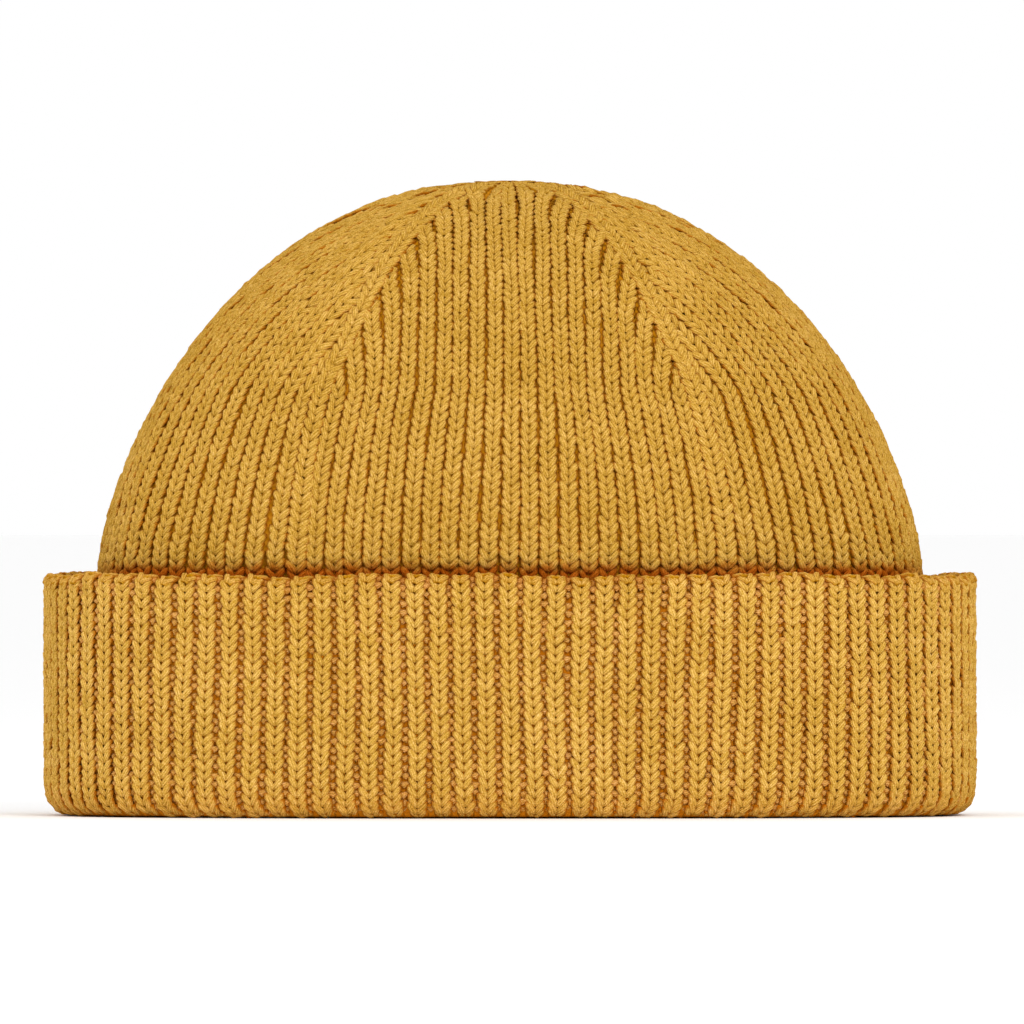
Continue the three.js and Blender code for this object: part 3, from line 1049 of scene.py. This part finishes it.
class BeanieCrown(bpy.types.Operator):
    """Knit the crown: four panels of ribs and the four decrease lines between them"""

    bl_idname = "beanie.crown"
    bl_label = "Crown Stitches"

    def execute(self, context):
        sizes = context.scene.beanie_knitting
        colours = context.scene.beanie_colours
        material = yarn_material("crown yarn", colours.yarn, colours.notch, creased=True)
        template = stitch_template("crown stitch", sizes.crown_spread)
        levels = tube_levels(sizes.crown_row, sizes.tucked_rows) + crown_levels(sizes.crown_row)
        for middle, side in enumerate(("front", "right", "back", "left")):
            stitches = panel_stitches(levels, middle, sizes.stitch_sink).shade_crease()
            knit_piece(f"crown_{side}_stitches", stitches, template, material, middle, "crown")
        lines = line_stitches(levels, sizes.line_sink, sizes.line_width).shade_crease()
        knit_piece("crown_decrease_lines", lines, template, material, LINES_SEED, "crown")
        removed(template)
        return {"FINISHED"}


class BeanieCuff(bpy.types.Operator):
    """Knit the cuff: knit stitches on its ribs and purl stitches in its grooves"""

    bl_idname = "beanie.cuff"
    bl_label = "Cuff Stitches"

    def execute(self, context):
        sizes = context.scene.beanie_knitting
        colours = context.scene.beanie_colours
        # The cuff's yarn has painted light: it is the crown's yarn made lighter.
        material = yarn_material("cuff yarn", colours.cuff_yarn, colours.notch)
        template = stitch_template("cuff stitch", sizes.cuff_spread)
        rings = cuff_rings(sizes.cuff_row)
        half = 2 * QUARTER_RIBS
        for index, side in enumerate(("front", "back")):
            first = (2 * index - 1) * QUARTER_RIBS
            stitches = ring_stitches(rings, first, half, sizes.stitch_sink).shade_bends(EDGE_SHADE)
            stitches.spot[:, 2] = stitches.spot[:, 2].clip(sizes.lowest_yarn)
            seed = CUFF_SEED + index
            knit_piece(f"cuff_{side}_stitches", stitches, template, material, seed, "cuff")
        removed(template)
        purl_material = yarn_material("purl yarn", colours.purl, colours.groove)
        purl = purl_template("purl stitch", sizes.purl_width, sizes.purl_height)
        # Purl stitches over the cuff's edge take the full painted shade.
        purls = ring_stitches(rings[PURL_ROWS], 0.5, 2 * half, sizes.purl_sink).shade_bends(1.0)
        purls.pitch[:] = STITCH_PITCH
        purls.row[:] = STITCH_ROW
        loose = sizes.purl_looseness
        knit_piece("cuff_purl_stitches", purls, purl, purl_material, PURL_SEED, "cuff", loose)
        removed(purl)
        return {"FINISHED"}


def area_light(name, place, target, size, power, colour):
    lamp = bpy.data.lights.new(name, "AREA")
    lamp.shape = "DISK"
    lamp.size = size
    lamp.energy = power
    lamp.color = colour
    light = linked_object(name, lamp)
    light.location = place
    light.rotation_euler = (target - Vector(place)).to_track_quat("-Z", "Y").to_euler()


class BeanieStage(bpy.types.Operator):
    """Set the pale floor, the soft studio light and the camera of the photo"""

    bl_idname = "beanie.stage"
    bl_label = "Studio"

    def execute(self, context):
        scene = context.scene
        made = bmesh.new()
        bmesh.ops.create_circle(made, cap_ends=True, segments=64, radius=FLOOR_RADIUS)
        material, _, shader = shader_tree("pale floor")
        shader.inputs["Base Color"].default_value = scene.beanie_colours.floor
        shader.inputs["Roughness"].default_value = FLOOR_ROUGHNESS
        linked_mesh("floor", made, material)

        middle = Vector((0, 0, CROWN_HIGH.z / 2))
        area_light("key", (0.8, -2.0, 1.2), middle, 0.6, 20, (1.0, 0.985, 0.96))
        area_light("fill", (-1.6, -1.3, 0.9), middle, 1.4, 6, (1.0, 0.99, 0.97))
        world = bpy.data.worlds.new("studio")
        world.use_nodes = True
        sky = world.node_tree.nodes["Background"]
        sky.inputs["Color"].default_value = (1.0, 1.0, 1.0, 1.0)
        scene.world = world
        scene.view_settings.view_transform = "Standard"

        centre_x = (PHOTO_PIXELS / 2 - PHOTO_CENTRE_X) * PHOTO_SCALE
        centre_z = (PHOTO_FLOOR_Y - PHOTO_PIXELS / 2) * PHOTO_SCALE
        camera = bpy.data.cameras.new("camera")
        camera.sensor_width = SENSOR_WIDTH
        camera.lens = SENSOR_WIDTH * CAMERA_DISTANCE / (PHOTO_PIXELS * PHOTO_SCALE)
        camera.clip_end = CLIP_END
        viewer = linked_object("camera", camera)
        viewer.location = (centre_x, -CAMERA_DISTANCE, centre_z)
        viewer.rotation_euler = (math.pi / 2, 0, 0)
        scene.camera = viewer
        return {"FINISHED"}


class BeaniePanel(bpy.types.Panel):
    """Lists the steps that make the hat"""

    bl_idname = "VIEW3D_PT_beanie"
    bl_label = "Ribbed Beanie"
    bl_space_type = "VIEW_3D"
    bl_region_type = "UI"
    bl_category = "Beanie"

    def draw(self, context):
        layout = self.layout
        for group in (context.scene.beanie_knitting, context.scene.beanie_colours):
            for name in group.__annotations__:
                layout.prop(group, name)
        for operator in OPERATORS:
            layout.operator(operator.bl_idname)


OPERATORS = [BeanieCloth, BeanieCrown, BeanieCuff, BeanieStage]
CLASSES = [BeanieKnitting, BeanieColours, *OPERATORS, BeaniePanel]


def register():
    for cls in CLASSES:
        bpy.utils.register_class(cls)
    bpy.types.Scene.beanie_knitting = PointerProperty(type=BeanieKnitting)
    bpy.types.Scene.beanie_colours = PointerProperty(type=BeanieColours)


def unregister():
    del bpy.types.Scene.beanie_colours
    del bpy.types.Scene.beanie_knitting
    for cls in reversed(CLASSES):
        bpy.utils.unregister_class(cls)


def main():
    register()
    bpy.ops.beanie.stage()
    bpy.ops.beanie.cloth()
    bpy.ops.beanie.crown()
    bpy.ops.beanie.cuff()


if __name__ == "__main__":
    main()
